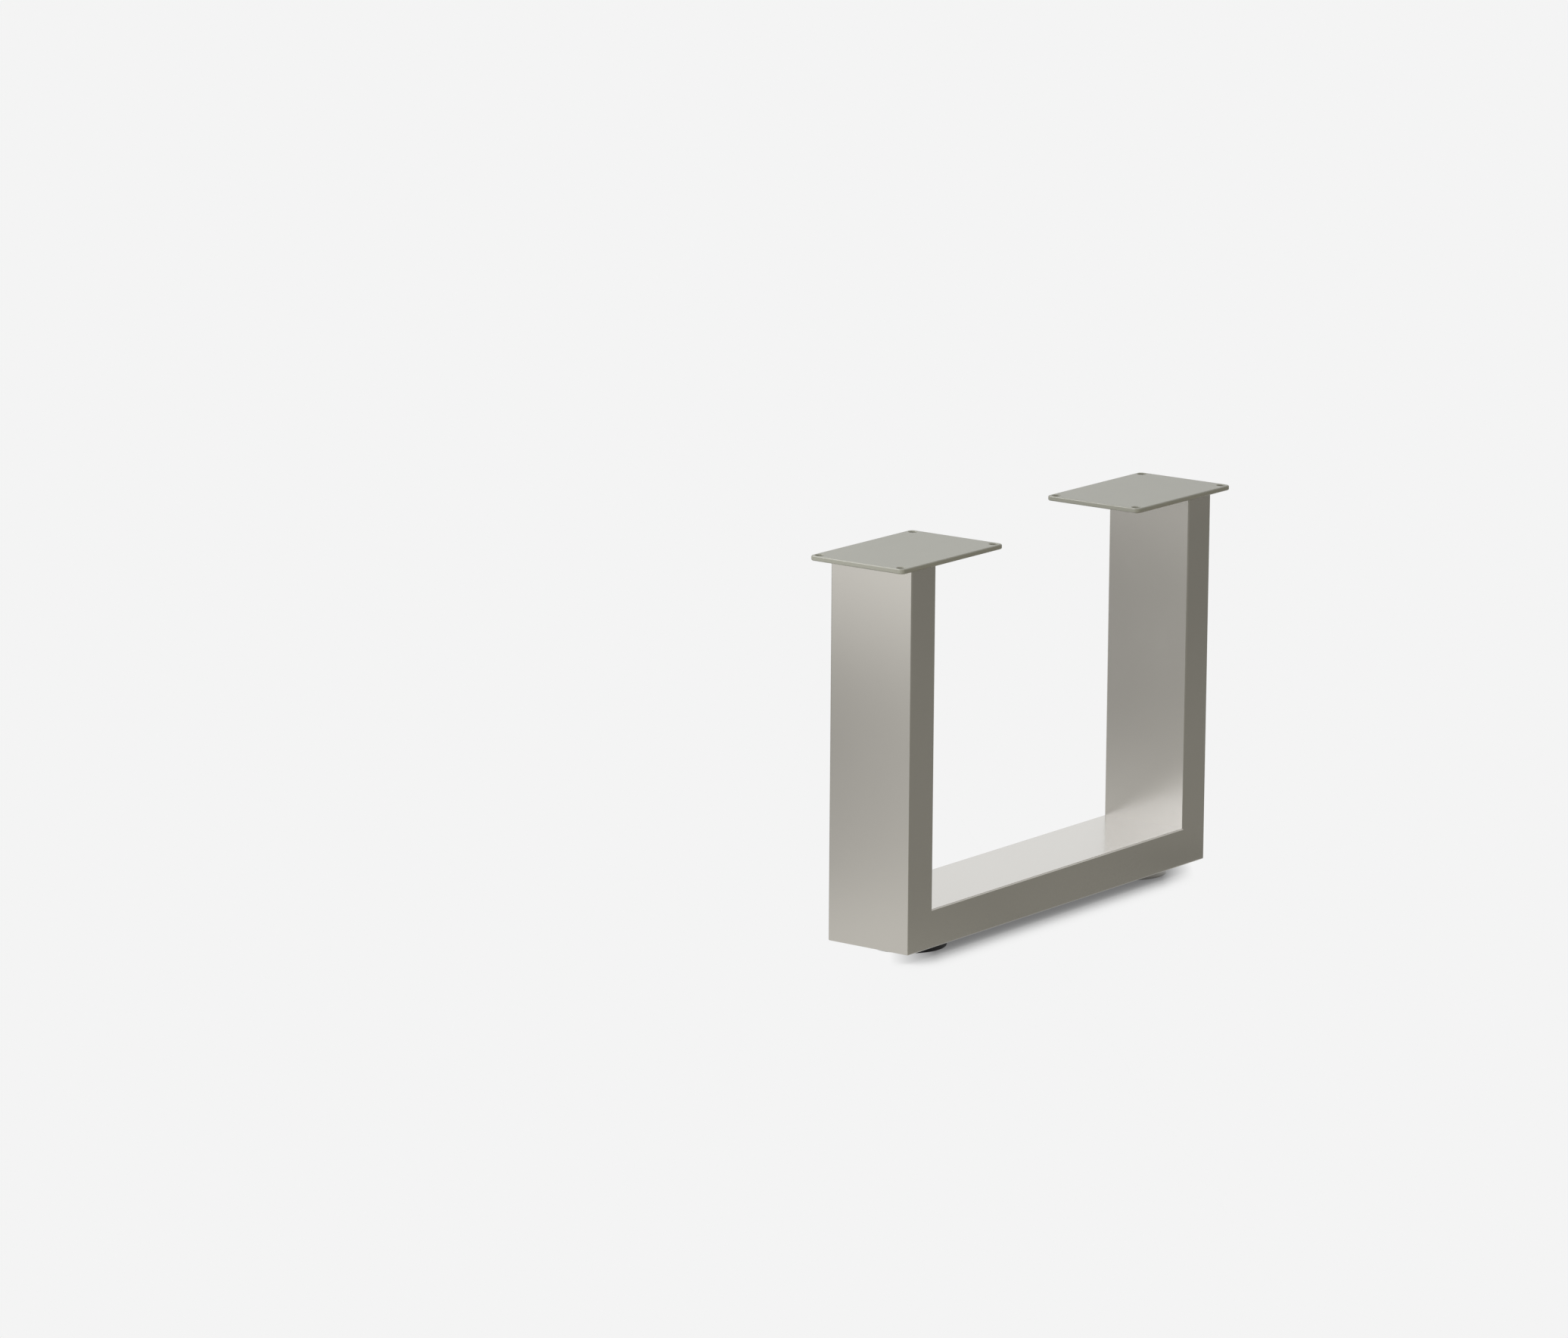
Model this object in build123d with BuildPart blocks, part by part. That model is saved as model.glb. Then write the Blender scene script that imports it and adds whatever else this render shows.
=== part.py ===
import os

from build123d import *

# U shaped table leg: a flat U of rectangular steel tube, a bolting plate on each end, two levelling feet.
# Millimetres, +Z up, origin on the floor under the middle of the U. X runs along the U, Y across it.

# Tube frame
frame_length = 523.0  # over the outer faces of the two uprights
frame_height = 392.0  # from the underside of the cross tube to the underside of the plates
tube_depth = 100.0  # wide side of the section, along Y
tube_width = 40.0  # narrow side of the section
tube_wall = 2.0
tube_corner_radius = 1.6  # outside corners that run along the tube
tube_inner_radius = 0.4

# Bolting plates
plate_thickness = 5.0
plate_outward = 26.0  # reach past the upright's outer face
plate_inward = 144.0  # reach from the upright's outer face towards the middle
plate_overhang = 7.5  # past the tube on each wide side
plate_corner_radius = 5.0
plate_edge_chamfer = 0.5
bolt_hole_diameter = 8.5
bolt_hole_inset = 7.5

# Feet, measured up from the floor
foot_inset = 66.0  # foot axis from the upright's outer face
foot_travel = 12.0  # how far a foot screws out from the position drawn
disc_diameter = 80.0
disc_top = 6.0
disc_rim_chamfer = 0.8
glide_diameter = 73.0
glide_thickness = 2.0
glide_proud = 0.5  # how far the glide stands below the disc
glide_hole = 20.0

# Stem: threaded shaft, hexagon collar, and a pin staked under the disc
thread_diameter = 10.0
collar_flats = 17.0
collar_height = 3.0
collar_sunk = 1.0  # how deep the collar sits in the disc
collar_bevel = 1.1  # how far the bevel cuts in at the hexagon's corners
pocket_clearance = 0.7  # around the collar's corners
pin_diameter = 8.0
pin_clearance = 0.06  # radial, pin in disc
stake_diameter = 12.0
stake_height = 1.0
stake_gap = 0.1

# Rivet nut set in the cross tube's bottom wall
nut_flange_diameter = 20.0
nut_flange_thickness = 1.0
nut_shank_diameter = 13.0
nut_length = 19.0
nut_bulge_diameter = 17.5
nut_bulge_height = 3.0
nut_hole_clearance = 0.05  # radial, shank in the tube's hole
thread_clearance = 0.06  # radial, screw in nut

cut_margin = 1.0  # how far a cutting tool runs past the face it opens

# Heights worked out from the sizes above
collar_bottom = disc_top - collar_sunk
collar_top = collar_bottom + collar_height
tube_bottom = collar_top + nut_flange_thickness
plate_bottom = tube_bottom + frame_height

half_length = frame_length / 2
foot_x = half_length - foot_inset
stem_top = collar_top + nut_length + foot_travel

plate_length = plate_outward + plate_inward
plate_width = tube_depth + 2 * plate_overhang
plate_centre = half_length + plate_outward - plate_length / 2


def tube_profile(width, depth):
    """The hollow section of the tube, drawn on the current plane."""
    RectangleRounded(width, depth, tube_corner_radius)
    inner_width = width - 2 * tube_wall
    inner_depth = depth - 2 * tube_wall
    RectangleRounded(inner_width, inner_depth, tube_inner_radius, mode=Mode.SUBTRACT)


def mitre(side):
    """The 45 degree plane through one bottom corner of the U, facing up the upright."""
    corner = (side * half_length, 0, tube_bottom)
    return Plane(origin=corner, x_dir=(0, 1, 0), z_dir=(side, 0, 1))


os.makedirs("parts", exist_ok=True)

# Cross tube, mitred at both ends, with a hole in its bottom wall for each rivet nut
with BuildPart() as cross_tube:
    with BuildSketch(Plane.YZ.offset(-half_length)) as cross_section:
        with Locations((0, tube_bottom + tube_width / 2)):
            tube_profile(tube_depth, tube_width)
    extrude(amount=frame_length)
    split(bisect_by=mitre(-1), keep=Keep.BOTTOM)
    split(bisect_by=mitre(1), keep=Keep.BOTTOM)
    nut_hole_start = tube_bottom + tube_wall + cut_margin
    with Locations((-foot_x, 0, nut_hole_start), (foot_x, 0, nut_hole_start)):
        Hole(nut_shank_diameter / 2 + nut_hole_clearance, depth=tube_wall + 2 * cut_margin)
cross_tube.part.label = "cross_tube"
export_step(cross_tube.part, "parts/cross_tube.step")

for side, place in ((-1, "left"), (1, "right")):

    # Upright, square under its plate and mitred at the bottom
    with BuildPart() as upright:
        with BuildSketch(Plane.XY.offset(tube_bottom)) as upright_section:
            with Locations((side * (half_length - tube_width / 2), 0)):
                tube_profile(tube_width, tube_depth)
        extrude(amount=frame_height)
        split(bisect_by=mitre(side), keep=Keep.TOP)
    upright.part.label = f"{place}_upright"
    export_step(upright.part, f"parts/{place}_upright.step")

    # Bolting plate, welded on the upright's top, with a hole near each corner
    with BuildPart() as plate:
        with BuildSketch(Plane.XY.offset(plate_bottom)) as plate_outline:
            with Locations((side * plate_centre, 0)):
                RectangleRounded(plate_length, plate_width, plate_corner_radius)
                hole_span_x = plate_length - 2 * bolt_hole_inset
                hole_span_y = plate_width - 2 * bolt_hole_inset
                with GridLocations(hole_span_x, hole_span_y, 2, 2):
                    Circle(bolt_hole_diameter / 2, mode=Mode.SUBTRACT)
        extrude(amount=plate_thickness)
        flat_faces = plate.faces().filter_by(Axis.Z).sort_by(Axis.Z)
        outline_edges = flat_faces[0].outer_wire().edges() + flat_faces[-1].outer_wire().edges()
        chamfer(outline_edges, plate_edge_chamfer)
    plate.part.label = f"{place}_top_plate"
    export_step(plate.part, f"parts/{place}_top_plate.step")

    foot_plane = Plane(origin=(side * foot_x, 0, 0), x_dir=(1, 0, 0), z_dir=(0, -1, 0))

    # Rivet nut: flange under the wall, bulge folded over above it, threaded body inside the tube
    wall_top = tube_bottom + tube_wall
    nut_top = collar_top + nut_length
    shank_radius = nut_shank_diameter / 2
    nut_bore = thread_diameter / 2 + thread_clearance
    with BuildPart() as nut:
        with BuildSketch(foot_plane) as nut_section:
            with BuildLine() as nut_outline:
                Polyline(
                    (nut_bore, nut_top),
                    (nut_bore, collar_top),
                    (nut_flange_diameter / 2, collar_top),
                    (nut_flange_diameter / 2, tube_bottom),
                    (shank_radius, tube_bottom),
                    (shank_radius, wall_top),
                    (nut_bulge_diameter / 2, wall_top),
                    (nut_bulge_diameter / 2, wall_top + nut_bulge_height),
                    (shank_radius, wall_top + nut_bulge_height),
                    (shank_radius, nut_top),
                    close=True,
                )
            make_face()
        revolve(axis=Axis((side * foot_x, 0, 0), (0, 0, 1)))
    nut.part.label = f"{place}_rivet_nut"
    export_step(nut.part, f"parts/{place}_rivet_nut.step")

    # Foot disc: flat and round, with a pocket for the collar above and one for the glide below
    collar_corner = collar_flats / 3**0.5
    pocket_radius = collar_corner + pocket_clearance
    with BuildPart() as disc:
        with BuildSketch(Plane.XY.offset(glide_proud)) as disc_outline:
            with Locations((side * foot_x, 0)):
                Circle(disc_diameter / 2)
                Circle(pin_diameter / 2 + pin_clearance, mode=Mode.SUBTRACT)
        extrude(amount=disc_top - glide_proud)
        top_rim = disc.edges().filter_by(GeomType.CIRCLE).group_by(Axis.Z)[-1].sort_by(SortBy.RADIUS)[-1]
        chamfer(top_rim, disc_rim_chamfer)
        with BuildSketch(Plane.XY.offset(collar_bottom)) as collar_pocket:
            with Locations((side * foot_x, 0)):
                Circle(pocket_radius)
        extrude(amount=collar_sunk + cut_margin, mode=Mode.SUBTRACT)
        with BuildSketch(Plane.XY.offset(glide_thickness)) as glide_pocket:
            with Locations((side * foot_x, 0)):
                Circle(glide_diameter / 2)
        extrude(amount=-glide_thickness, mode=Mode.SUBTRACT)
    disc.part.label = f"{place}_foot_disc"
    export_step(disc.part, f"parts/{place}_foot_disc.step")

    # Glide: the flat ring pressed into the disc, which stands on the floor
    with BuildPart() as glide:
        with BuildSketch() as glide_outline:
            with Locations((side * foot_x, 0)):
                Circle(glide_diameter / 2)
                Circle(glide_hole / 2, mode=Mode.SUBTRACT)
        extrude(amount=glide_thickness)
    glide.part.label = f"{place}_foot_glide"
    export_step(glide.part, f"parts/{place}_foot_glide.step")

    # Stem: hexagon collar bevelled on top, threaded shaft above, pin staked under the disc below
    stake_top = glide_thickness - stake_gap
    with BuildPart() as stem:
        with BuildSketch(Plane.XY.offset(collar_bottom)) as collar_outline:
            with Locations((side * foot_x, 0)):
                RegularPolygon(collar_flats / 2, 6, major_radius=False)
        extrude(amount=collar_height)
        with BuildSketch(foot_plane) as bevel_section:
            with BuildLine() as bevel_outline:
                Polyline(
                    (0, collar_bottom),
                    (collar_corner, collar_bottom),
                    (collar_corner, collar_top - collar_bevel / 2),
                    (collar_corner - collar_bevel, collar_top),
                    (0, collar_top),
                    close=True,
                )
            make_face()
        revolve(axis=Axis((side * foot_x, 0, 0), (0, 0, 1)), mode=Mode.INTERSECT)
        with BuildSketch(foot_plane) as shaft_section:
            with BuildLine() as shaft_outline:
                Polyline(
                    (0, stake_top - stake_height),
                    (stake_diameter / 2, stake_top - stake_height),
                    (stake_diameter / 2, stake_top),
                    (pin_diameter / 2, stake_top),
                    (pin_diameter / 2, collar_bottom),
                    (thread_diameter / 2, collar_bottom),
                    (thread_diameter / 2, stem_top),
                    (0, stem_top),
                    close=True,
                )
            make_face()
        revolve(axis=Axis((side * foot_x, 0, 0), (0, 0, 1)))
    stem.part.label = f"{place}_foot_stem"
    export_step(stem.part, f"parts/{place}_foot_stem.step")
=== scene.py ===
import math

import bmesh
import bpy
import numpy as np
from mathutils import Matrix, Vector


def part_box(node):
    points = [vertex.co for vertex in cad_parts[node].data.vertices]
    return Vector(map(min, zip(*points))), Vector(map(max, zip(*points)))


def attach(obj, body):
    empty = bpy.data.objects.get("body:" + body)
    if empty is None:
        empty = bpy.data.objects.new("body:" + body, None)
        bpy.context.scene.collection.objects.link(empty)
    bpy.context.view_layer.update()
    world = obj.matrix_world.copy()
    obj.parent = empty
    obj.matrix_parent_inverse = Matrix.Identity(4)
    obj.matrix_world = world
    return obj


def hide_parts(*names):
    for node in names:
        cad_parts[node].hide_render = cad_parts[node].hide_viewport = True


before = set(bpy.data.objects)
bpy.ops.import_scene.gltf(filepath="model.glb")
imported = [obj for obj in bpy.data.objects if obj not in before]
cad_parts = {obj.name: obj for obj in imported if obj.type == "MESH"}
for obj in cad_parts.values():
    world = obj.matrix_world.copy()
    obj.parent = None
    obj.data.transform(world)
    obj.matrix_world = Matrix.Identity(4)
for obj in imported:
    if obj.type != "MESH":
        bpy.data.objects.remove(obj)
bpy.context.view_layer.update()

# U shaped table leg: the finish of the tubes, plates and levelling feet, with the studio round them.
# Metres, +Z up, origin on the floor under the middle of the U.

scene = bpy.context.scene
mm = 0.001

# Nearly all of a noise texture's values lie within the wide pair, and most within the middle one
noiseMiddle = (0.35, 0.65)
noiseWide = (0.30, 0.70)


# Shader nodes

class Wire:
    # One output socket. Arithmetic on it adds Math nodes to the sheet that it belongs to.
    def __init__(self, sheet, socket):
        self.sheet = sheet
        self.socket = socket

    def maths(self, operation, *values):
        return self.sheet.add("ShaderNodeMath", {"operation": operation}, dict(enumerate(values)))

    def __add__(self, other):
        return self.maths("ADD", self, other)

    def __radd__(self, other):
        return self.maths("ADD", other, self)

    def __sub__(self, other):
        return self.maths("SUBTRACT", self, other)

    def __rsub__(self, other):
        return self.maths("SUBTRACT", other, self)

    def __mul__(self, other):
        return self.maths("MULTIPLY", self, other)

    def __rmul__(self, other):
        return self.maths("MULTIPLY", other, self)

    def __pow__(self, other):
        return self.maths("POWER", self, other)

    def atLeast(self, other):
        return self.maths("MAXIMUM", self, other)

    def exponential(self):
        return self.maths("EXPONENT", self)


class Sheet:
    # One node tree, started empty. Every node of it comes from add.
    def __init__(self, tree):
        self.tree = tree
        tree.nodes.clear()

    def add(self, kind, settings=None, sockets=None, output=0):
        node = self.tree.nodes.new(kind)
        for name, value in (settings or {}).items():
            if name == "stops":
                ramp = node.color_ramp.elements
                while len(ramp) < len(value):
                    ramp.new(0.5)
                for stop, (place, shade) in zip(ramp, value):
                    stop.position = place
                    stop.color = (shade, shade, shade, 1)
            else:
                setattr(node, name, value)
        for name, value in (sockets or {}).items():
            if isinstance(value, Wire):
                self.tree.links.new(value.socket, node.inputs[name])
            elif isinstance(value, tuple) and node.inputs[name].type == "RGBA":
                node.inputs[name].default_value = (*value, 1)
            else:
                node.inputs[name].default_value = value
        return Wire(self, node.outputs[output] if len(node.outputs) else None)

    def coordinates(self, turn=(0, 0, 0), stretch=(1, 1, 1)):
        place = self.add("ShaderNodeTexCoord", output="Object")
        return self.add("ShaderNodeMapping", None, {"Vector": place, "Rotation": turn, "Scale": stretch})

    def noise(self, place, size, detail=2.0, roughness=0.5):
        values = {"Vector": place, "Scale": 1 / size, "Detail": detail, "Roughness": roughness}
        return self.add("ShaderNodeTexNoise", None, values)

    def spread(self, value, low, high, start=0.0, end=1.0):
        values = {"Value": value, "From Min": low, "From Max": high, "To Min": start, "To Max": end}
        return self.add("ShaderNodeMapRange", None, values)

    def blend(self, factor, first, second):
        # Mix takes its colours at sockets 6 and 7 and gives one at output 2
        values = {0: factor, 6: first, 7: second}
        return self.add("ShaderNodeMix", {"data_type": "RGBA"}, values, 2)

    def mingle(self, first, share, second):
        # That share of the first value and the rest of the second
        return first * share + second * (1 - share)

    def bump(self, height, distance):
        return self.add("ShaderNodeBump", None, {"Height": height, "Distance": distance, "Strength": 1.0})


def newMaterial(name):
    material = bpy.data.materials.new(name)
    material.use_nodes = True
    return material, Sheet(material.node_tree)


def finishWith(sheet, values):
    shader = sheet.add("ShaderNodeBsdfPrincipled", None, values)
    sheet.add("ShaderNodeOutputMaterial", None, {"Surface": shader})


# Finishes

tubeFinish = {
    "colour": (0.462, 0.442, 0.396),
    "darker": (0.456, 0.436, 0.390),
    "metallic": 1.0,
    "roughness": (0.255, 0.275),
    "discRoughness": (0.09, 0.13),  # the round foot is the glossier of the two
    "discPaintedShade": 0.55,  # the share of the tube's colour that it keeps; the rest is painted shade for the shaded floor its side reflects
    "coat": 1.0,
    "coatRoughness": 0.16,
    "flake": 0.22 * mm,
    "peel": 2.2 * mm,
    "cloud": 90 * mm,
    "flakeShare": 0.55,  # of the colour's variation, the rest is cloud
    "peelDepth": 0.0003 * mm,
}


def satinTube(name, roughness, depth=1.0):
    # Taupe coating with fine metal flake: a clear satin gloss over a softly clouded base, whose colour is
    # multiplied by depth;
    # a depth below 1 is painted shade
    material, sheet = newMaterial(name)
    place = sheet.coordinates()
    flake = sheet.noise(place, tubeFinish["flake"], 1.0)
    cloud = sheet.noise(place, tubeFinish["cloud"], 3.0)
    peel = sheet.noise(place, tubeFinish["peel"], 2.0)
    tone = sheet.spread(sheet.mingle(flake, tubeFinish["flakeShare"], cloud), *noiseMiddle)
    darker, colour = (tuple(depth * part for part in tubeFinish[shade]) for shade in ("darker", "colour"))
    finishWith(sheet, {
        "Base Color": sheet.blend(tone, darker, colour),
        "Metallic": tubeFinish["metallic"],
        "Roughness": sheet.spread(sheet.mingle(flake, 0.5, cloud), *noiseWide, *roughness),
        "Coat Weight": tubeFinish["coat"],
        "Coat Roughness": tubeFinish["coatRoughness"],
        "Normal": sheet.bump(peel, tubeFinish["peelDepth"]),
    })
    return material


plateFinish = {
    "colour": (0.279, 0.277, 0.229),
    "darker": (0.270, 0.268, 0.222),
    "roughness": (0.30, 0.36),
    "grain": 0.3 * mm,
    "cloud": 25 * mm,
    "grainShare": 0.5,
    "grainDepth": 0.010 * mm,
    "gloss": 0.42,
    "paintedBoreShade": 0.35,  # how dark painted shade makes the coating deep in a bolt hole
    "paintedShadeReach": 6 * mm,
    "paintedShadeSamples": 16,
    "paintedShadeOpen": (0.95, 0.45),  # how open a place is where that shade starts, and where it is full
}


def mattePlate():
    # Greenish grey powder coat with a fine dry grain, its colour darkened by painted shade deep in the
    # bolt holes
    material, sheet = newMaterial("matte plate coating")
    place = sheet.coordinates()
    grain = sheet.noise(place, plateFinish["grain"], 2.0, 0.6)
    cloud = sheet.noise(place, plateFinish["cloud"], 3.0)
    tone = sheet.spread(sheet.mingle(grain, plateFinish["grainShare"], cloud), *noiseMiddle)
    # Painted shade: the plate's own occlusion darkens the coating's colour in the bolt holes
    settings = {"samples": plateFinish["paintedShadeSamples"], "only_local": True}
    clear = sheet.add("ShaderNodeAmbientOcclusion", settings, {"Distance": plateFinish["paintedShadeReach"]}, "AO")
    bore = sheet.spread(clear, *plateFinish["paintedShadeOpen"])
    colour = sheet.blend(tone, plateFinish["darker"], plateFinish["colour"])
    deep = tuple(plateFinish["paintedBoreShade"] * part for part in plateFinish["darker"])
    finishWith(sheet, {
        "Base Color": sheet.blend(bore, colour, deep),
        "Roughness": sheet.spread(grain, *noiseWide, *plateFinish["roughness"]),
        "Specular IOR Level": plateFinish["gloss"],
        "Normal": sheet.bump(grain, plateFinish["grainDepth"]),
    })
    return material


blackFinish = {
    "colour": (0.0070, 0.0070, 0.0075),
    "paler": (0.0095, 0.0095, 0.0100),
    "roughness": (0.50, 0.60),
    "grain": 0.4 * mm,
    "cloud": 12 * mm,
    "grainShare": 0.4,
    "grainDepth": 0.015 * mm,
    "gloss": 0.3,
}


def blackNylon():
    # Moulded black plastic with a fine spark-eroded grain
    material, sheet = newMaterial("moulded black nylon")
    place = sheet.coordinates()
    grain = sheet.noise(place, blackFinish["grain"], 2.0, 0.6)
    cloud = sheet.noise(place, blackFinish["cloud"], 2.0)
    tone = sheet.spread(sheet.mingle(grain, blackFinish["grainShare"], cloud), *noiseMiddle)
    finishWith(sheet, {
        "Base Color": sheet.blend(tone, blackFinish["colour"], blackFinish["paler"]),
        "Specular IOR Level": blackFinish["gloss"],
        "Roughness": sheet.spread(grain, *noiseWide, *blackFinish["roughness"]),
        "Normal": sheet.bump(grain, blackFinish["grainDepth"]),
    })
    return material


zincFinish = {
    "colour": (0.60, 0.61, 0.62),
    "darker": (0.50, 0.51, 0.53),
    "roughness": (0.24, 0.36),
    "spangle": 1.2 * mm,
    "spangleShare": 0.7,
    "ring": 0.25 * mm,
    "ringStretch": (0.06, 0.06, 1),
    "ringDepth": 0.004 * mm,
}


def zincSteel():
    # Bright zinc plating over turned steel: faint rings up the axis, small clouded patches
    material, sheet = newMaterial("bright zinc steel")
    place = sheet.coordinates()
    rings = sheet.noise(sheet.coordinates(stretch=zincFinish["ringStretch"]), zincFinish["ring"], 1.0)
    patches = sheet.noise(place, zincFinish["spangle"], 3.0)
    tone = sheet.spread(sheet.mingle(patches, zincFinish["spangleShare"], rings), *noiseMiddle)
    finishWith(sheet, {
        "Base Color": sheet.blend(tone, zincFinish["darker"], zincFinish["colour"]),
        "Metallic": 1.0,
        "Roughness": sheet.spread(patches, *noiseWide, *zincFinish["roughness"]),
        "Normal": sheet.bump(rings, zincFinish["ringDepth"]),
    })
    return material


glideFinish = {
    "colour": (0.070, 0.070, 0.068),
    "paler": (0.095, 0.094, 0.091),
    "roughness": (0.50, 0.62),
    "grain": 0.6 * mm,
    "grainShare": 0.5,
    "grainDepth": 0.02 * mm,
    "scuff": 2.4 * mm,
    "scuffTurn": (0, 0, 0.6),
    "scuffStretch": (1, 0.1, 1),
}


def glideNylon():
    # Dark grey nylon, scuffed dull where it slides on the floor
    material, sheet = newMaterial("glide nylon")
    place = sheet.coordinates()
    grain = sheet.noise(place, glideFinish["grain"], 2.0, 0.6)
    scuffPlace = sheet.coordinates(glideFinish["scuffTurn"], glideFinish["scuffStretch"])
    scuff = sheet.noise(scuffPlace, glideFinish["scuff"], 3.0)
    tone = sheet.spread(sheet.mingle(grain, glideFinish["grainShare"], scuff), *noiseMiddle)
    finishWith(sheet, {
        "Base Color": sheet.blend(tone, glideFinish["colour"], glideFinish["paler"]),
        "Roughness": sheet.spread(scuff, *noiseWide, *glideFinish["roughness"]),
        "Normal": sheet.bump(grain, glideFinish["grainDepth"]),
    })
    return material


tubeLook = satinTube("satin tube finish", tubeFinish["roughness"])
# The round foot: the tube's finish, glossier, with painted shade darkening its colour
discLook = satinTube("bright disc finish", tubeFinish["discRoughness"], tubeFinish["discPaintedShade"])
plateLook = mattePlate()
blackLook = blackNylon()
zincLook = zincSteel()
glideLook = glideNylon()
print("finishes made")


# Surfaces

meshing = {
    "mergeWithin": 0.0005 * mm,  # points nearer to each other than this become one
    "sharpFrom": 32,  # degrees between two faces
    "roundedFrom": 50,
    "roundedSteps": 6,
    "roundedProfile": 0.3,  # 0.25 is a flat chamfer and 0.5 a quarter circle
}


def gridFaces(rows, columns):
    # Quads between neighbouring rows of points, each row closed on itself
    row = np.arange(rows - 1)[:, None]
    column = np.arange(columns)[None, :]
    after = (column + 1) % columns
    start, above = row * columns, (row + 1) * columns
    corners = (start + column, start + after, above + after, above + column)
    return np.stack(np.broadcast_arrays(*corners), -1).reshape(-1, 4)


def closedMesh(name, grids, lids=()):
    # Joins grids of closed rows where their points meet, so poles and shared rows become single points.
    # A lid (grid, row) is one flat face over that row.
    points, faces, starts = [], [], []
    for grid in grids:
        rows, columns = grid.shape[:2]
        starts.append(sum(len(part) for part in points))
        points.append(grid.reshape(-1, 3))
        faces += (gridFaces(rows, columns) + starts[-1]).tolist()
    for which, row in lids:
        columns = grids[which].shape[1]
        faces.append((starts[which] + row * columns + np.arange(columns)).tolist())
    mesh = bpy.data.meshes.new(name)
    mesh.from_pydata(np.concatenate(points).tolist(), [], faces)
    work = bmesh.new()
    work.from_mesh(mesh)
    bmesh.ops.remove_doubles(work, verts=work.verts, dist=meshing["mergeWithin"])
    bmesh.ops.recalc_face_normals(work, faces=work.faces)
    work.to_mesh(mesh)
    work.free()
    return mesh


def drilled(piece, grids):
    # Takes closed cutting surfaces away from the piece and keeps what is left as its mesh
    drills = bpy.data.objects.new("drills", closedMesh("drills", grids))
    scene.collection.objects.link(drills)
    cut = piece.modifiers.new("drilled", "BOOLEAN")
    cut.operation = "DIFFERENCE"
    cut.solver = "EXACT"
    cut.object = drills
    graph = bpy.context.evaluated_depsgraph_get()
    left = bpy.data.meshes.new_from_object(piece.evaluated_get(graph))
    piece.modifiers.clear()
    piece.data = left
    bpy.data.objects.remove(drills)


def showPiece(name, mesh, look, body, node, drills=None, bevel=0):
    piece = bpy.data.objects.new(name, mesh)
    scene.collection.objects.link(piece)
    if drills:
        drilled(piece, drills)
    piece.data.materials.clear()
    piece.data.materials.append(look)
    piece.data.shade_smooth()
    if bevel:
        rounding = piece.modifiers.new("rounded edges", "BEVEL")
        rounding.width = bevel
        rounding.segments = meshing["roundedSteps"]
        rounding.profile = meshing["roundedProfile"]
        rounding.limit_method = "ANGLE"
        rounding.angle_limit = math.radians(meshing["roundedFrom"])
        rounding.harden_normals = True
    else:
        piece.data.set_sharp_from_angle(angle=math.radians(meshing["sharpFrom"]))
        even = piece.modifiers.new("even shading", "WEIGHTED_NORMAL")
        even.keep_sharp = True
    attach(piece, body)
    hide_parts(node)


def roundedRectangle(width, depth, radius, steps):
    # Quarter arcs of that radius about four centres set in from the corners, joined by the straight sides
    angle = np.linspace(0, np.pi / 2, steps + 1)[None, :] + np.arange(4)[:, None] * np.pi / 2
    sideU = np.array([1, -1, -1, 1])[:, None]
    sideV = np.array([1, 1, -1, -1])[:, None]
    u = sideU * (width / 2 - radius) + radius * np.cos(angle)
    v = sideV * (depth / 2 - radius) + radius * np.sin(angle)
    return u.ravel(), v.ravel()


def softened(corners, radius, steps=4):
    # Each corner of a closed outline becomes an arc of that radius that touches both of its sides
    outline = []
    for index, corner in enumerate(corners):
        here = np.array(corner[:2], float)
        before = np.array(corners[index - 1][:2]) - here
        after = np.array(corners[(index + 1) % len(corners)][:2]) - here
        before, after = before / np.linalg.norm(before), after / np.linalg.norm(after)
        half = np.arccos(before @ after) / 2
        size = corner[2] if len(corner) > 2 else radius
        middle = before + after
        centre = here + middle / np.linalg.norm(middle) * size / np.sin(half)
        start = here + before * size / np.tan(half) - centre
        end = here + after * size / np.tan(half) - centre
        span = np.pi - 2 * half
        part = np.linspace(0, 1, steps + 1)[:, None]
        arc = (np.sin((1 - part) * span) * start + np.sin(part * span) * end) / np.sin(span)
        outline.append(centre + arc)
    return np.concatenate(outline)


def turned(section, centre, steps, closed=True):
    # Carries a section of (radius, height) points round the upright axis through centre
    if closed:
        section = np.concatenate([section, section[:1]])
    angle = np.arange(steps) / steps * 2 * np.pi
    x = centre + section[:, :1] * np.cos(angle)
    y = section[:, :1] * np.sin(angle)
    z = np.broadcast_to(section[:, 1:], x.shape)
    return np.stack([x, y, z], -1)


def drill(radius, low, high, x, y, steps):
    # A closed cylinder to cut with: out from its axis, up and back in again, turned round the axis at x, y
    profile = np.array([(0, low), (radius, low), (radius, high), (0, high)])
    return turned(profile, x, steps, closed=False) + np.array([0, y, 0])


# Tubes

lowTube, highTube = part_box("cross_tube")
halfLength, tubeBottom = highTube.x, lowTube.z
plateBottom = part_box("left_upright")[1].z
tubeDepth, tubeWidth = highTube.y - lowTube.y, highTube.z - lowTube.z

tubeForm = {
    "wall": 2.0 * mm,
    "cornerRadius": 1.6 * mm,
    "innerRadius": 0.4 * mm,
    "mitreRadius": 1.3 * mm,  # the ground and coated outer corner of the U
    "cornerSteps": 8,
    "mitreSteps": 6,
    "nutHole": 6.55 * mm,
    "nutHoleSteps": 64,
}


def mitredRows(depth, radius, steps):
    # How far along the tube and how deep from its outer face each profile point lies, row by row, from the
    # mitre on. Under the radius a point goes round an arc of what is left of it, deeper ones run straight.
    lean = np.linspace(np.pi / 4, 0, steps + 1)[:, None]
    rest = np.maximum(radius - depth, 0)
    straight = depth + radius * np.linspace(0, 1, steps + 1)[:, None]
    outer = depth < radius
    along = np.where(outer, radius - rest * np.sin(lean), straight)
    deep = np.where(outer, radius - rest * np.cos(lean), depth + 0 * lean)
    return along, deep


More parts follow.
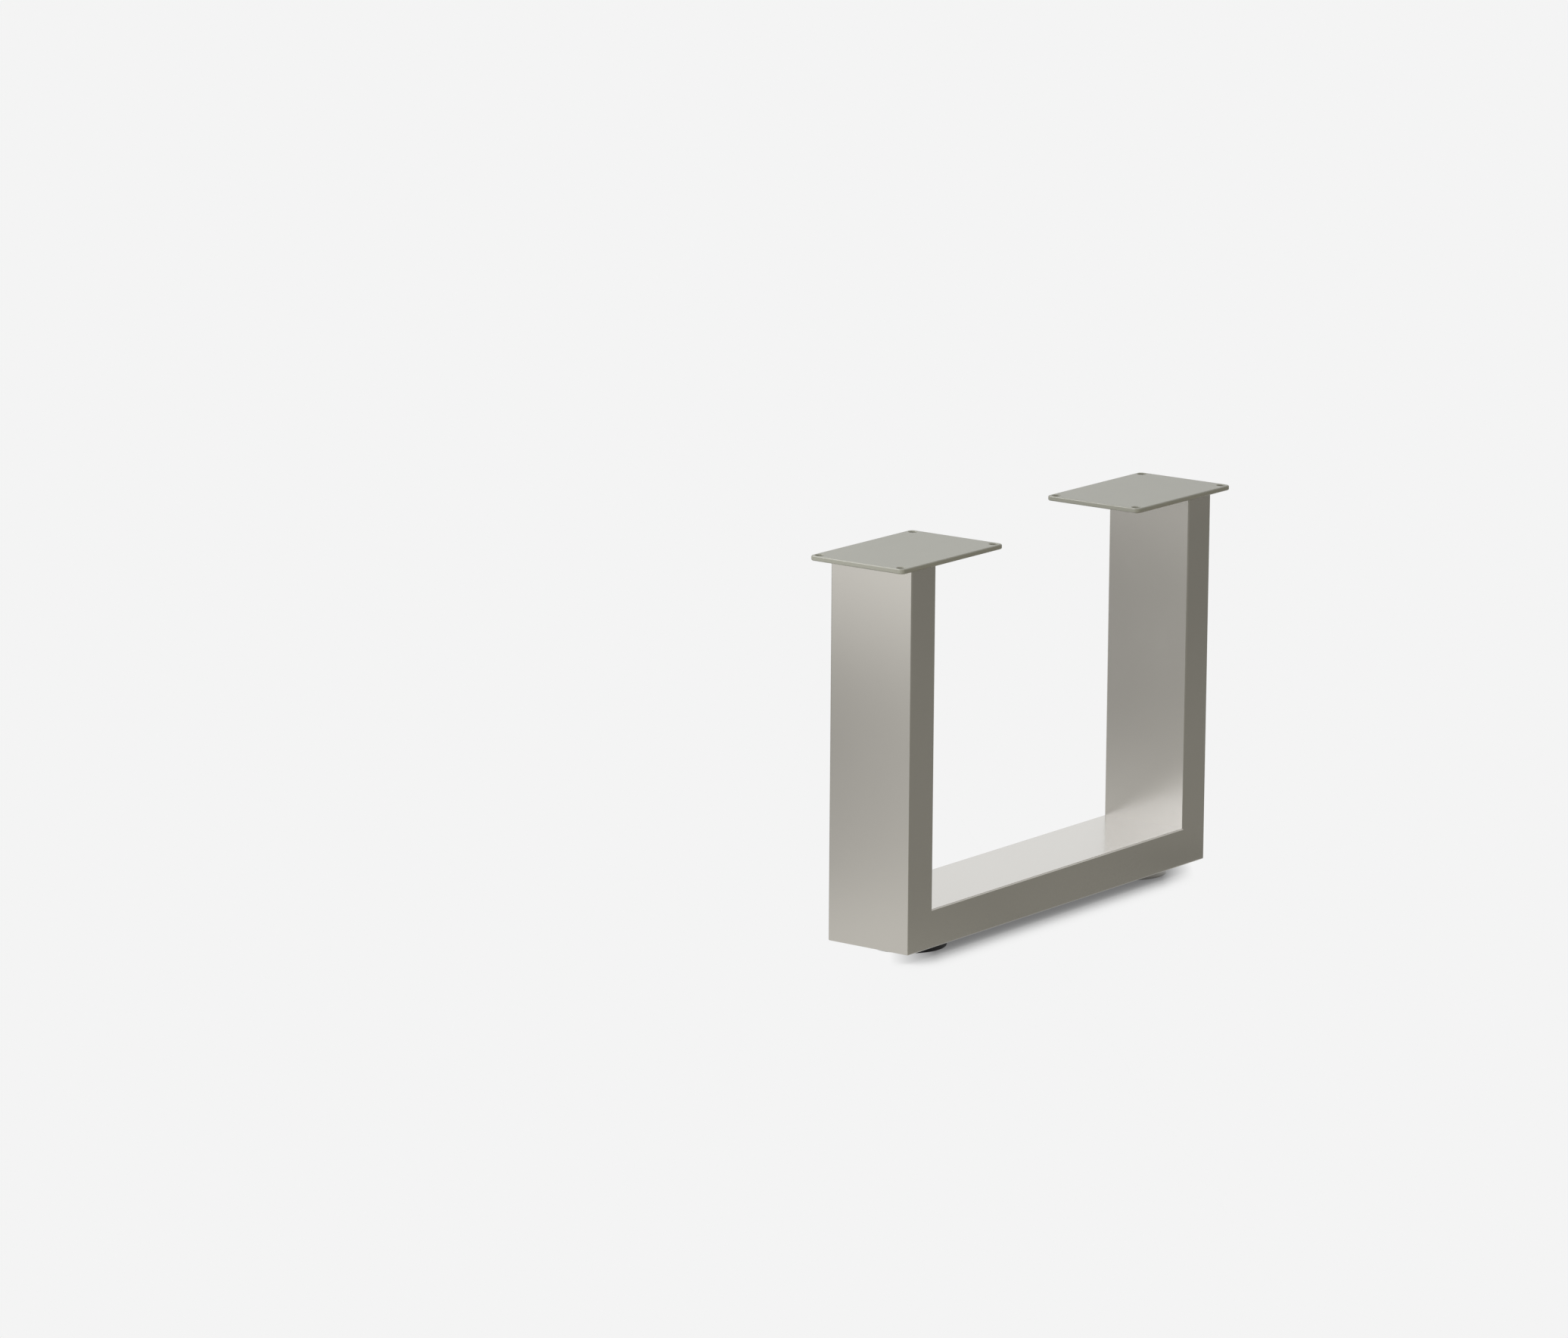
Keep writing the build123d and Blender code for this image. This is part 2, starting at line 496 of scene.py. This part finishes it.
def sectionProfiles():
    # The outer and the inner outline of the tube: depth from the outer face, and place across in Y
    wall, steps = tubeForm["wall"], tubeForm["cornerSteps"]
    outer = roundedRectangle(tubeWidth, tubeDepth, tubeForm["cornerRadius"], steps)
    inner = roundedRectangle(tubeWidth - 2 * wall, tubeDepth - 2 * wall, tubeForm["innerRadius"], steps)
    return [(u + tubeWidth / 2, v) for u, v in (outer, inner)]


def tubeMesh(name, stand):
    # The outer wall is rounded at the mitre and the inner one sharp. stand takes rows of how far along and
    # how deep, with the places across, and gives points. A strip from wall to wall closes each end.
    mitres = ((tubeForm["mitreRadius"], tubeForm["mitreSteps"]), (0.0, 0))
    walls = []
    for (depth, across), (radius, steps) in zip(sectionProfiles(), mitres):
        walls.append(stand(*mitredRows(depth, radius, steps), across))
    outer, inner = walls
    ends = [np.stack([outer[row], inner[row]]) for row in (0, -1)]
    return closedMesh(name, [outer, inner, *ends])


def makeUpright(side, sign):
    # Along runs up from the mitre, and one more row of the same section ends it under the plate
    def stand(along, deep, across):
        z = np.vstack([along + tubeBottom, np.full_like(across, plateBottom)])
        deep = np.vstack([deep, deep[-1]])
        return np.stack([sign * (halfLength - deep), np.broadcast_to(across, z.shape), z], -1)

    mesh = tubeMesh(side + "_upright_skin", stand)
    showPiece(side + "_upright_skin", mesh, tubeLook, "frame", side + "_upright")


def makeCrossTube():
    # Along runs in from the left end, and the same rows in reverse run out to the right end
    def stand(along, deep, across):
        x = np.vstack([along - halfLength, halfLength - along[::-1]])
        z = np.vstack([deep, deep[::-1]]) + tubeBottom
        return np.stack([x, np.broadcast_to(across, z.shape), z], -1)

    mesh = tubeMesh("cross_tube_skin", stand)
    low, high = tubeBottom - tubeForm["wall"], tubeBottom + 2 * tubeForm["wall"]
    hole, steps = tubeForm["nutHole"], tubeForm["nutHoleSteps"]
    drills = [drill(hole, low, high, sign * footX, 0.0, steps) for sign in (-1, 1)]
    showPiece("cross_tube_skin", mesh, tubeLook, "frame", "cross_tube", drills)


# Plates

plateForm = {
    "cornerRadius": 5.0 * mm,
    "cornerSteps": 12,
    "edgeRadius": 1.0 * mm,
    "holeRadius": 4.25 * mm,
    "holeInset": 7.5 * mm,
    "holeSteps": 48,
    "drillPast": 1.0 * mm,  # how far a drill runs past both faces
}


def makePlate(side):
    # A rounded rectangle at the lower and at the upper face, joined by the edge and closed by a lid each
    low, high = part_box(side + "_top_plate")
    middle, length, width = (low + high) / 2, high.x - low.x, high.y - low.y
    u, v = roundedRectangle(length, width, plateForm["cornerRadius"], plateForm["cornerSteps"])
    rows = [np.stack([middle.x + u, v, np.full_like(u, z)], -1) for z in (low.z, high.z)]
    mesh = closedMesh(side + "_plate_skin", [np.stack(rows)], lids=[(0, 0), (0, 1)])
    start, end = low.z - plateForm["drillPast"], high.z + plateForm["drillPast"]
    inset, hole, steps = plateForm["holeInset"], plateForm["holeRadius"], plateForm["holeSteps"]
    drills = []
    for x in (low.x + inset, high.x - inset):
        for y in (low.y + inset, high.y - inset):
            drills.append(drill(hole, start, end, x, y, steps))
    showPiece(side + "_plate_skin", mesh, plateLook, "frame", side + "_top_plate",
              drills, bevel=plateForm["edgeRadius"])


# Feet

discLow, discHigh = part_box("right_foot_disc")
footX = (discLow.x + discHigh.x) / 2

footForm = {
    "steps": 144,
    "rim": 1.3 * mm,
    "lowerRim": 0.6 * mm,
    "edge": 0.25 * mm,
    "seatEdge": 0.1 * mm,
    "pinHole": 4.06 * mm,
    "pocket": 10.51 * mm,
    "pocketFloor": 4.97 * mm,  # a hair below the collar that turns on it
    "glideHole": 10.0 * mm,
    "glideEdge": 0.5 * mm,
}


def makeDisc(side, sign, look):
    # A flat disc with a rounded rim, a pocket for the collar above and one for the glide below
    radius = (discHigh.x - discLow.x) / 2
    glideLow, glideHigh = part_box(side + "_foot_glide")
    glideRadius = (glideHigh.x - glideLow.x) / 2
    corners = [
        (footForm["pinHole"], glideHigh.z),
        (footForm["pinHole"], footForm["pocketFloor"]),
        (footForm["pocket"], footForm["pocketFloor"], footForm["seatEdge"]),
        (footForm["pocket"], discHigh.z),
        (radius, discHigh.z, footForm["rim"]),
        (radius, discLow.z, footForm["lowerRim"]),
        (glideRadius, discLow.z),
        (glideRadius, glideHigh.z, footForm["seatEdge"]),
    ]
    grid = turned(softened(corners, footForm["edge"]), sign * footX, footForm["steps"])
    mesh = closedMesh(side + "_disc_skin", [grid])
    showPiece(side + "_disc_skin", mesh, look, side + "_foot", side + "_foot_disc")


def makeGlide(side, sign):
    # A ring, its section softened most at the two lower corners, turned round the foot's axis
    low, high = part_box(side + "_foot_glide")
    hole, radius, edge = footForm["glideHole"], (high.x - low.x) / 2, footForm["glideEdge"]
    corners = [(hole, low.z, edge), (radius, low.z, edge), (radius, high.z), (hole, high.z)]
    grid = turned(softened(corners, footForm["seatEdge"]), sign * footX, footForm["steps"])
    mesh = closedMesh(side + "_glide_skin", [grid])
    showPiece(side + "_glide_skin", mesh, glideLook, side + "_foot", side + "_foot_glide")


stemForm = {
    "steps": 72,
    "pitch": 1.5 * mm,
    "rowsPerTurn": 12,
    "threadRadius": 5.0 * mm,
    "threadDepth": 0.92 * mm,
    "threadSlope": 1.25,
    "threadRoot": 0.12,
    "tipChamfer": 1.2 * mm,
    "pinRadius": 4.0 * mm,
    "stakeRadius": 6.0 * mm,
    "stakeHeight": 1.0 * mm,
    "stakeRim": 0.25 * mm,
    "collarFlats": 17.0 * mm,
    "collarBottom": 5.0 * mm,
    "collarTop": 8.0 * mm,
    "collarBevel": 1.1 * mm,
}


def threadWave(angle, height):
    # 0 at the root and 1 at the crest of a V thread: a zigzag over the height, shifted by the angle, is
    # steepened and lowered and then cut off flat at 0 and at 1
    turn = (height / stemForm["pitch"] - angle / (2 * np.pi)) % 1.0
    zigzag = 1 - np.abs(2 * turn - 1)
    return np.clip(stemForm["threadSlope"] * zigzag - stemForm["threadRoot"], 0, 1)


def roundFoot(sign, radius, angle, height):
    # Points at those radii, angles and heights about one foot's axis
    x = sign * footX + radius * np.cos(angle)
    return np.stack([x, radius * np.sin(angle), np.broadcast_to(height, radius.shape)], -1)


def makeStem(side, sign):
    low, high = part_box(side + "_foot_stem")
    angle = np.arange(stemForm["steps"]) / stemForm["steps"] * 2 * np.pi
    pin, stake, rim = stemForm["pinRadius"], stemForm["stakeRadius"], stemForm["stakeRim"]
    stakeTop = low.z + stemForm["stakeHeight"]
    bottom, top = stemForm["collarBottom"], stemForm["collarTop"]
    foot = [
        (0, low.z), (stake - rim, low.z), (stake, low.z + rim), (stake, stakeTop - rim),
        (stake - rim, stakeTop), (pin, stakeTop), (pin, bottom),
    ]
    # The hexagon's radius is its half width over the cosine of the angle from a flat's middle. The bevel
    # is a cone that falls half a unit for each unit outward.
    half = stemForm["collarFlats"] / 2
    hexagon = half / np.cos(angle % (np.pi / 3) - np.pi / 6)
    corner = half / np.cos(np.pi / 6)
    brim = np.minimum(hexagon, corner - stemForm["collarBevel"])
    bevelled = top - np.maximum(hexagon - brim, 0) / 2
    # The thread's radius falls to a cone at the tip
    turns = (high.z - top) / stemForm["pitch"]
    height = np.linspace(top, high.z, int(turns * stemForm["rowsPerTurn"]))[:, None]
    root = stemForm["threadRadius"] - stemForm["threadDepth"]
    thread = root + stemForm["threadDepth"] * threadWave(angle, height)
    thread = np.minimum(thread, stemForm["threadRadius"] - stemForm["tipChamfer"] + (high.z - height))
    level = np.zeros_like(angle)
    radius = [level + r for r, z in foot] + [hexagon, hexagon, brim] + list(thread) + [level]
    heights = [level + z for r, z in foot] + [level + bottom, bevelled, level + top]
    heights += list(height + level) + [level + high.z]
    grid = roundFoot(sign, np.array(radius), angle, np.array(heights))
    mesh = closedMesh(side + "_stem_skin", [grid])
    showPiece(side + "_stem_skin", mesh, zincLook, side + "_stem", side + "_foot_stem")


nutForm = {
    "shank": 6.5 * mm,
    "bulge": 8.75 * mm,
    "bulgeHeight": 3.0 * mm,
    "bore": 5.06 * mm,
    "grooveDepth": 0.5 * mm,
    "flange": 1.0 * mm,
    "rim": 0.3 * mm,
    "fold": 0.9 * mm,  # from the bulge's corner to where its rounded fold starts and ends
    "foldMiddle": 0.27 * mm,  # from that corner to the fold's middle, on both axes
}


def makeNut(side, sign):
    # Turned outside, with a thread cut outwards into its bore
    low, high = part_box(side + "_rivet_nut")
    flangeRadius = (high.x - low.x) / 2
    shank, bulge, bore = nutForm["shank"], nutForm["bulge"], nutForm["bore"]
    wallTop = tubeBottom + tubeForm["wall"]
    folded = wallTop + nutForm["bulgeHeight"]
    flangeTop = low.z + nutForm["flange"]
    rim, fold, middle = nutForm["rim"], nutForm["fold"], nutForm["foldMiddle"]
    outside = np.array([
        (bore, low.z), (flangeRadius - rim, low.z), (flangeRadius, low.z + rim), (flangeRadius, flangeTop),
        (shank, flangeTop), (shank, wallTop), (bulge, wallTop), (bulge, folded - fold),
        (bulge - middle, folded - middle), (bulge - fold, folded), (shank, folded),
        (shank, high.z - rim), (shank - rim, high.z), (bore, high.z),
    ])
    steps = stemForm["steps"]
    angle = np.arange(steps) / steps * 2 * np.pi
    rows = int((high.z - low.z) / stemForm["pitch"] * stemForm["rowsPerTurn"])
    height = np.linspace(high.z, low.z, rows)[:, None]
    groove = threadWave(angle, height) * nutForm["grooveDepth"]
    groove[[0, -1]] = 0  # both ends meet the outside
    shell = turned(outside, sign * footX, steps, closed=False)
    mesh = closedMesh(side + "_nut_skin", [shell, roundFoot(sign, bore + groove, angle, height)])
    showPiece(side + "_nut_skin", mesh, zincLook, "frame", side + "_rivet_nut")


makeCrossTube()
for side, sign in (("left", -1), ("right", 1)):
    makeUpright(side, sign)
    makePlate(side)
    makeNut(side, sign)
    makeGlide(side, sign)
    makeStem(side, sign)
    print(side, "side made")
makeDisc("left", -1, blackLook)
makeDisc("right", 1, discLook)
print("pieces made")


# Studio

room = {
    "background": 0.905,  # the pale grey that the camera and reflections see
    "ambient": 0.50,  # what the walls give to matt surfaces
    "floorColour": (0.45, 0.45, 0.45),
    "floorSize": 40.0,
    "shadowReach": 0.04,
    "shadowSamples": 16,
    "shadowTone": [(0.0, 0.16), (0.31, 0.32), (0.53, 0.46), (0.68, 0.72), (0.82, 0.93), (0.95, 1.0)],
    "shadowWay": (0.607, -0.795),  # the way across the floor in which it fades
    "shadowLeft": (-0.137, -0.091),  # it comes in between these two distances along that way
    "shadowRight": (0.187, 0.152),  # and is gone at the first of these, past the right foot
    "shadowMirrored": 0.88,  # how much of it shows in polished metal
}

# Painted reflections: what polished metal sees of the floor. 1 is the pale grey, and each soft patch of
# painted light or shade adds its gain about its place, over its size
paintedMirrorFloor = {
    "plain": 1.0,
    "front": -0.600,  # painted dark warm reflection in front, seen in polished metal
    "paintedDarkEdge": (-0.048, -0.070),
    "paintedDarkTint": (1.0, 0.984, 0.91),
    "paintedDarkMatt": (0.330, 0.305, 0.225),
    "patches": {
        "near foot": {"place": (-0.38, 0.09), "size": 0.30, "gain": 0.18},
        "left near": {"place": (-0.66, 0.30), "size": 0.30, "gain": 0.03},
        "left middle": {"place": (-1.02, 0.58), "size": 0.35, "gain": -0.06},
        "left far": {"place": (-1.67, 0.98), "size": 0.36, "gain": 0.83},
        "left farthest": {"place": (-2.07, 1.02), "size": 0.38, "gain": 0.80},
        "behind near": {"place": (-0.10, 0.25), "size": 0.22, "gain": -0.14},
        "behind middle": {"place": (-0.42, 0.49), "size": 0.30, "gain": -0.53},
        "behind far": {"place": (-1.05, 0.97), "size": 0.40, "gain": -0.73},
        "behind farthest": {"place": (-1.35, 1.20), "size": 0.40, "gain": -0.75},
        "behind top": {"place": (-1.40, 1.30), "size": 0.25, "gain": -0.40},
        "behind horizon": {"place": (-2.35, 1.85), "size": 0.60, "gain": 0.55},
        "front far": {"place": (1.7, -1.1), "size": 0.8, "gain": -0.11},
        "front right foot": {"place": (0.28, -0.08), "size": 0.08, "gain": -0.05},
    },
}


def seenPlainly(sheet):
    # 1 for camera, mirror and see-through rays, 0 for the rays that light matt surfaces
    ray = sheet.add("ShaderNodeLightPath", output="Is Camera Ray")
    glossy = sheet.add("ShaderNodeLightPath", output="Is Glossy Ray")
    through = sheet.add("ShaderNodeLightPath", output="Is Transmission Ray")
    return ray.atLeast(glossy).atLeast(through)


def lightWorld():
    world = bpy.data.worlds.new("studio")
    world.use_nodes = True
    scene.world = world
    sheet = Sheet(world.node_tree)
    background = room["background"]
    bright = sheet.add("ShaderNodeBackground", None, {"Color": (background,) * 3, "Strength": 1.0})
    dim = sheet.add("ShaderNodeBackground", None, {"Color": (1.0, 1.0, 1.0), "Strength": room["ambient"]})
    mixed = sheet.add("ShaderNodeMixShader", None, {0: seenPlainly(sheet), 1: dim, 2: bright})
    sheet.add("ShaderNodeOutputWorld", None, {"Surface": mixed})


def floorFinish():
    # The background's own grey with the soft shadow under the leg. For the light that it throws back it is
    # plain and matt, darker in front, and polished metal sees the painted reflections of
    # paintedMirrorFloor in it.
    material, sheet = newMaterial("floor")
    place = {"Vector": sheet.add("ShaderNodeTexCoord", output="Object")}
    across = sheet.add("ShaderNodeSeparateXYZ", None, place, "X")
    along = sheet.add("ShaderNodeSeparateXYZ", None, place, "Y")
    settings = {"samples": room["shadowSamples"]}
    clear = sheet.add("ShaderNodeAmbientOcclusion", settings, {"Distance": room["shadowReach"]}, "AO")
    tone = sheet.add("ShaderNodeValToRGB", {"stops": room["shadowTone"]}, {"Fac": clear})
    wayX, wayY = room["shadowWay"]
    way = across * wayX + along * wayY
    within = sheet.spread(way, *room["shadowLeft"]) * sheet.spread(way, *room["shadowRight"])
    glossy = sheet.add("ShaderNodeLightPath", output="Is Glossy Ray")
    shown = 1 - glossy * (1 - room["shadowMirrored"])
    shade = (1 - (1 - tone) * within * shown) * room["background"]
    # Painted dark reflection in front of the leg, warm tinted, which also throws back less light to matt
    # surfaces
    paintedDarkFront = sheet.spread(along, *paintedMirrorFloor["paintedDarkEdge"])
    mirrored = paintedMirrorFloor["plain"] + paintedDarkFront * paintedMirrorFloor["front"]
    # Soft patches of painted light and shade, seen only in reflections
    for patch in paintedMirrorFloor["patches"].values():
        x, y = patch["place"]
        apart = ((across - x) ** 2 + (along - y) ** 2) * -(1 / patch["size"] ** 2)
        mirrored = mirrored + apart.exponential() * patch["gain"]
    strength = shade * (1 - glossy * (1 - mirrored))
    colour = sheet.blend(glossy * paintedDarkFront, (1.0, 1.0, 1.0), paintedMirrorFloor["paintedDarkTint"])
    glow = sheet.add("ShaderNodeEmission", None, {"Color": colour, "Strength": strength})
    mattColour = sheet.blend(paintedDarkFront, room["floorColour"], paintedMirrorFloor["paintedDarkMatt"])
    matt = sheet.add("ShaderNodeBsdfDiffuse", None, {"Color": mattColour})
    above = sheet.add("ShaderNodeMixShader", None, {0: seenPlainly(sheet), 1: matt, 2: glow})
    below = sheet.add("ShaderNodeNewGeometry", output="Backfacing")
    hole = sheet.add("ShaderNodeBsdfTransparent")
    both = sheet.add("ShaderNodeMixShader", None, {0: below, 1: above, 2: hole})
    sheet.add("ShaderNodeOutputMaterial", None, {"Surface": both})
    return material


def layFloor():
    half = room["floorSize"] / 2
    corners = [(-half, -half, 0), (half, -half, 0), (half, half, 0), (-half, half, 0)]
    mesh = bpy.data.meshes.new("floor")
    mesh.from_pydata(corners, [], [(0, 1, 2, 3)])
    mesh.materials.append(floorFinish())
    floor = bpy.data.objects.new("floor", mesh)
    scene.collection.objects.link(floor)


lamps = {
    "key": {"place": (-0.85, 2.0, 3.0), "size": (1.0, 1.0), "power": 38.5},
    "left side": {"place": (-1.5, 0.0, 0.70), "size": (0.6, 0.6), "power": 10.2, "aim": (-0.26, 0, 0.35),
                  "mirrored": False},
    "back left": {"place": (-1.61, 1.03, 0.80), "size": (1.3, 0.9), "power": 2.6, "aim": (-0.26, 0, 0.3),
                  "colour": (0.94, 0.975, 1.11)},
    "near left": {"place": (-1.2, 0.70, 0.60), "size": (0.4, 0.4), "power": 1.5, "aim": (-0.26, 0, 0.35),
                  "colour": (0.94, 0.975, 1.11)},
    "front": {"place": (-0.4, -2.4, 1.0), "size": (1.0, 1.0), "power": 9.0, "aim": (0, 0, 0.4),
              "colour": (1.08, 1.0, 0.92), "mirrored": False},
    "back right": {"place": (1.7, 1.3, 0.55), "size": (1.4, 0.9), "power": 0.42, "aim": (0, 0, 0.05)},
}


def hangLamp(name, place, size, power, aim=(0, 0, 0.2), colour=(1.0, 1.0, 1.0), mirrored=True):
    data = bpy.data.lights.new(name, "AREA")
    data.shape = "RECTANGLE"
    data.size, data.size_y = size
    data.energy = power
    data.color = colour
    lamp = bpy.data.objects.new(name, data)
    lamp.location = place
    lamp.rotation_euler = (Vector(aim) - Vector(place)).to_track_quat("-Z", "Y").to_euler()
    lamp.visible_camera = False
    lamp.visible_glossy = mirrored  # the others light only matt surfaces
    scene.collection.objects.link(lamp)


lightWorld()
layFloor()
for name, lamp in lamps.items():
    hangLamp(name, **lamp)
print("studio lit")


# Camera, solved from the straight edges of the leg in the photo

photoView = {
    "place": (-5.85229, -4.15660, 1.80595),
    "azimuth": -52.66594,
    "elevation": 12.24700,
    "roll": 0.37980,
    "lens": 165.2128,
    "sensor": 36.0,
    "reach": 60.0,
}


def setCamera():
    data = bpy.data.cameras.new("photo view")
    data.lens = photoView["lens"]
    data.sensor_width = photoView["sensor"]
    data.sensor_fit = "HORIZONTAL"
    data.clip_end = photoView["reach"]
    camera = bpy.data.objects.new("photo view", data)
    turn = Matrix.Rotation(math.radians(photoView["azimuth"]), 4, "Z")
    tip = Matrix.Rotation(math.radians(90 - photoView["elevation"]), 4, "X")
    roll = Matrix.Rotation(math.radians(photoView["roll"]), 4, "Z")
    camera.matrix_world = Matrix.Translation(photoView["place"]) @ turn @ tip @ roll
    scene.collection.objects.link(camera)
    scene.camera = camera


setCamera()
scene.view_settings.view_transform = "Standard"
print("camera set")
